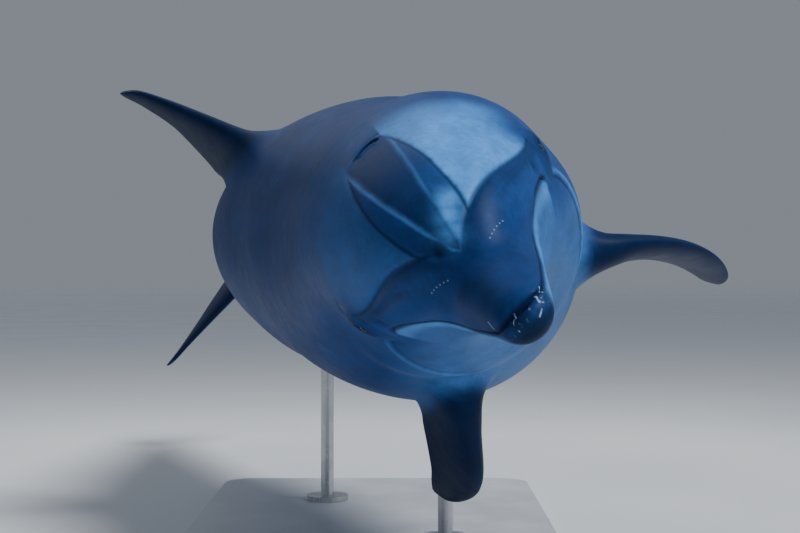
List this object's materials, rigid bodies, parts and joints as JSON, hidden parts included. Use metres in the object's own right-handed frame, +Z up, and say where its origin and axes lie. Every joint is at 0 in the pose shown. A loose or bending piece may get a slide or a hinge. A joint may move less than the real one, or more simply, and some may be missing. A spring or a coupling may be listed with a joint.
{
  "type": "bottlenose dolphin model",
  "caption": "Still life-size bottlenose dolphin, banked on its side in mid turn with flippers spread, held over a flat base by short rods.",
  "frame": {"origin": "middle of the flat underside of the stand's base", "axes": "+Z up, -Y the way the animal swims, +X to the side its left flipper reaches"},
  "size_m": [1.1825, 2.6697, 0.8527],
  "materials": {
    "skin_back": "wet, smooth dark slate-grey skin",
    "skin_side": "wet, smooth mid-grey skin, paler below",
    "skin_jaw": "wet, smooth pale grey skin with a dark tip",
    "skin_fin": "wet, smooth dark grey skin",
    "eye": "polished, almost black",
    "base": "satin pale grey paint",
    "rod": "brushed along its length"
  },
  "bodies": {
    "root": {"lower_jaw": "skin_jaw", "upper_jaw": "skin_back", "head": "skin_back", "eye_left": "eye", "eye_right": "eye", "neck": "skin_side", "chest": "skin_side", "trunk": "skin_side", "tail_stock_front": "skin_side", "tail_stock_rear": "skin_side", "fluke_left": "skin_fin", "fluke_right": "skin_fin", "dorsal_fin": "skin_fin", "flipper_left": "skin_fin", "flipper_right": "skin_fin", "stand_base": "base", "stand_rod_front": "rod", "stand_rod_rear": "rod"}
  },
  "joints": []
}
